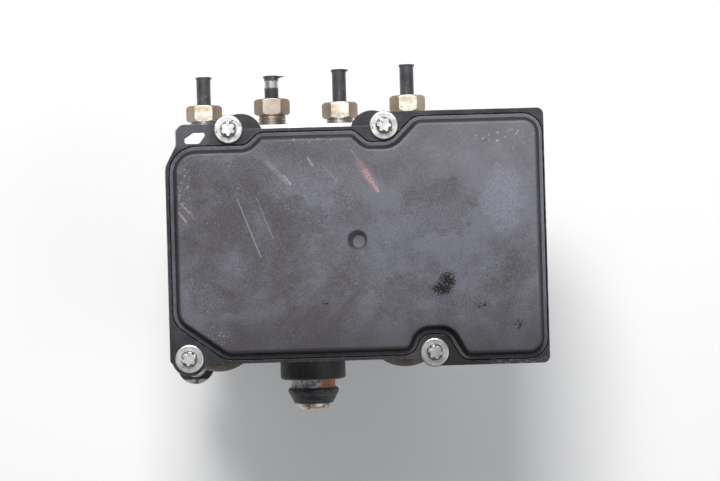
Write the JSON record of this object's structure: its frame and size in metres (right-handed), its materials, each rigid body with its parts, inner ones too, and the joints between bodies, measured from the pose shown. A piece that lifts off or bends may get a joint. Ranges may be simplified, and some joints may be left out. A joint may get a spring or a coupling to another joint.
{
  "type": "brake pressure control unit",
  "caption": "Hydraulic brake pressure unit: aluminium valve block with pump motor, solenoid valves, electronic control unit, pipe nuts and rubber mounts.",
  "frame": {"origin": "centre of the pump motor's flat end, on which the unit stands", "axes": "+Z from the motor to the control unit's cover, +Y towards the brake line nuts, +X towards the side with the connector"},
  "size_m": [0.1288, 0.121, 0.1148],
  "materials": {
    "block_aluminium": "machined, satin",
    "housing_plastic": "moulded, satin, glass-filled",
    "cover_plastic": "moulded, matte, dusty and scuffed",
    "mount_rubber": "moulded, worn",
    "seal_rubber": "moulded",
    "motor_zinc": "drawn steel, zinc plated",
    "screw_zinc": "zinc plated",
    "bearing_steel": "ground",
    "spring_steel": "wire",
    "cap_steel": "pressed, stained",
    "valve_steel": "turned",
    "yoke_steel": "pressed",
    "stud_steel": "zinc plated, rusting",
    "bracket_steel": "coated black",
    "nut_yellow_zinc": "yellow zinc, tarnished",
    "pipe_coating": "black coated steel tube",
    "piston_aluminium": "turned",
    "coil_copper": "enamelled copper wire",
    "contact_copper": "tinned copper",
    "ferrite": "pressed ferrite",
    "carbon": "pressed carbon",
    "inner_plastic": "moulded",
    "board_green": "solder mask",
    "chip_black": "moulded"
  },
  "bodies": {
    "unit": {"valve_block": "block_aluminium", "drilling_plugs": "bearing_steel", "motor_can": "motor_zinc", "motor_screws": "screw_zinc", "motor_magnets": "ferrite", "rear_bearing": "bearing_steel", "front_bearing": "bearing_steel", "brush_plate": "inner_plastic", "motor_brushes": "carbon", "motor_contacts": "contact_copper", "pump_sleeve_left": "bearing_steel", "pump_sleeve_right": "bearing_steel", "pump_plug_left": "screw_zinc", "pump_plug_right": "screw_zinc", "pump_spring_left": "spring_steel", "pump_spring_right": "spring_steel", "accumulator_cap_left": "cap_steel", "accumulator_cap_right": "cap_steel", "accumulator_spring_left": "spring_steel", "accumulator_spring_right": "spring_steel", "inlet_valves": "valve_steel", "outlet_valves": "valve_steel", "solenoid_coils": "coil_copper", "coil_yokes": "yoke_steel", "brake_nuts": "nut_yellow_zinc", "brake_pipe_1": "pipe_coating", "brake_pipe_2": "pipe_coating", "brake_pipe_3": "pipe_coating", "brake_pipe_4": "pipe_coating", "mount_bush": "mount_rubber", "mount_stud": "stud_steel", "corner_bracket": "bracket_steel", "corner_grommet": "mount_rubber", "corner_sleeve": "screw_zinc", "bracket_screw": "screw_zinc", "ecu_housing": "housing_plastic", "housing_gasket": "seal_rubber", "ecu_cover": "cover_plastic", "ecu_screws": "screw_zinc", "circuit_board": "board_green", "board_components": "chip_black", "connector_pins": "contact_copper"},
    "rotor": {"rotor_shaft": "bearing_steel", "rotor_core": "yoke_steel", "rotor_windings": "coil_copper", "commutator": "contact_copper"},
    "drive_ring": {"eccentric_ring": "bearing_steel"},
    "pump_piston_left": {"pump_piston_left": "bearing_steel"},
    "pump_piston_right": {"pump_piston_right": "bearing_steel"},
    "accumulator_piston_left": {"accumulator_piston_left": "piston_aluminium"},
    "accumulator_piston_right": {"accumulator_piston_right": "piston_aluminium"},
    "inlet_plunger_1": {"inlet_plunger_1": "valve_steel"},
    "inlet_plunger_2": {"inlet_plunger_2": "valve_steel"},
    "inlet_plunger_3": {"inlet_plunger_3": "valve_steel"},
    "inlet_plunger_4": {"inlet_plunger_4": "valve_steel"},
    "outlet_plunger_1": {"outlet_plunger_1": "valve_steel"},
    "outlet_plunger_2": {"outlet_plunger_2": "valve_steel"},
    "outlet_plunger_3": {"outlet_plunger_3": "valve_steel"},
    "outlet_plunger_4": {"outlet_plunger_4": "valve_steel"}
  },
  "joints": [
    {"name": "rotor_spin", "type": "hinge", "parent": "unit", "child": "rotor", "pos_m": [0, 0, 0.05], "axis": [0, 0, 1], "continuous": true},
    {"name": "ring_spin", "type": "hinge", "parent": "rotor", "child": "drive_ring", "pos_m": [0, 0.0012, 0.0625], "axis": [0, 0, 1], "continuous": true},
    {"name": "pump_slide_left", "type": "slide", "parent": "unit", "child": "pump_piston_left", "axis": [-1, 0, 0], "range_m": [0, 0.0024], "stiffness_N_per_m": 1500, "springref_m": -0.004, "deforming": ["pump_spring_left"]},
    {"name": "pump_slide_right", "type": "slide", "parent": "unit", "child": "pump_piston_right", "axis": [1, 0, 0], "range_m": [0, 0.0024], "stiffness_N_per_m": 1500, "springref_m": -0.004, "deforming": ["pump_spring_right"]},
    {"name": "accumulator_slide_left", "type": "slide", "parent": "unit", "child": "accumulator_piston_left", "axis": [0, -1, 0], "range_m": [0, 0.005], "stiffness_N_per_m": 800, "springref_m": -0.006, "deforming": ["accumulator_spring_left"]},
    {"name": "accumulator_slide_right", "type": "slide", "parent": "unit", "child": "accumulator_piston_right", "axis": [0, -1, 0], "range_m": [0, 0.005], "stiffness_N_per_m": 800, "springref_m": -0.006, "deforming": ["accumulator_spring_right"]},
    {"name": "inlet_valve_1", "type": "slide", "parent": "unit", "child": "inlet_plunger_1", "axis": [0, 0, -1], "range_m": [0, 0.0003], "stiffness_N_per_m": 400, "springref_m": -0.002},
    {"name": "inlet_valve_2", "type": "slide", "parent": "unit", "child": "inlet_plunger_2", "axis": [0, 0, -1], "range_m": [0, 0.0003], "stiffness_N_per_m": 400, "springref_m": -0.002},
    {"name": "inlet_valve_3", "type": "slide", "parent": "unit", "child": "inlet_plunger_3", "axis": [0, 0, -1], "range_m": [0, 0.0003], "stiffness_N_per_m": 400, "springref_m": -0.002},
    {"name": "inlet_valve_4", "type": "slide", "parent": "unit", "child": "inlet_plunger_4", "axis": [0, 0, -1], "range_m": [0, 0.0003], "stiffness_N_per_m": 400, "springref_m": -0.002},
    {"name": "outlet_valve_1", "type": "slide", "parent": "unit", "child": "outlet_plunger_1", "axis": [0, 0, 1], "range_m": [0, 0.0003], "stiffness_N_per_m": 400, "springref_m": -0.002},
    {"name": "outlet_valve_2", "type": "slide", "parent": "unit", "child": "outlet_plunger_2", "axis": [0, 0, 1], "range_m": [0, 0.0003], "stiffness_N_per_m": 400, "springref_m": -0.002},
    {"name": "outlet_valve_3", "type": "slide", "parent": "unit", "child": "outlet_plunger_3", "axis": [0, 0, 1], "range_m": [0, 0.0003], "stiffness_N_per_m": 400, "springref_m": -0.002},
    {"name": "outlet_valve_4", "type": "slide", "parent": "unit", "child": "outlet_plunger_4", "axis": [0, 0, 1], "range_m": [0, 0.0003], "stiffness_N_per_m": 400, "springref_m": -0.002}
  ],
  "couplings": [
    {"joint": "ring_spin", "follows": "rotor_spin", "ratio": -1}
  ]
}
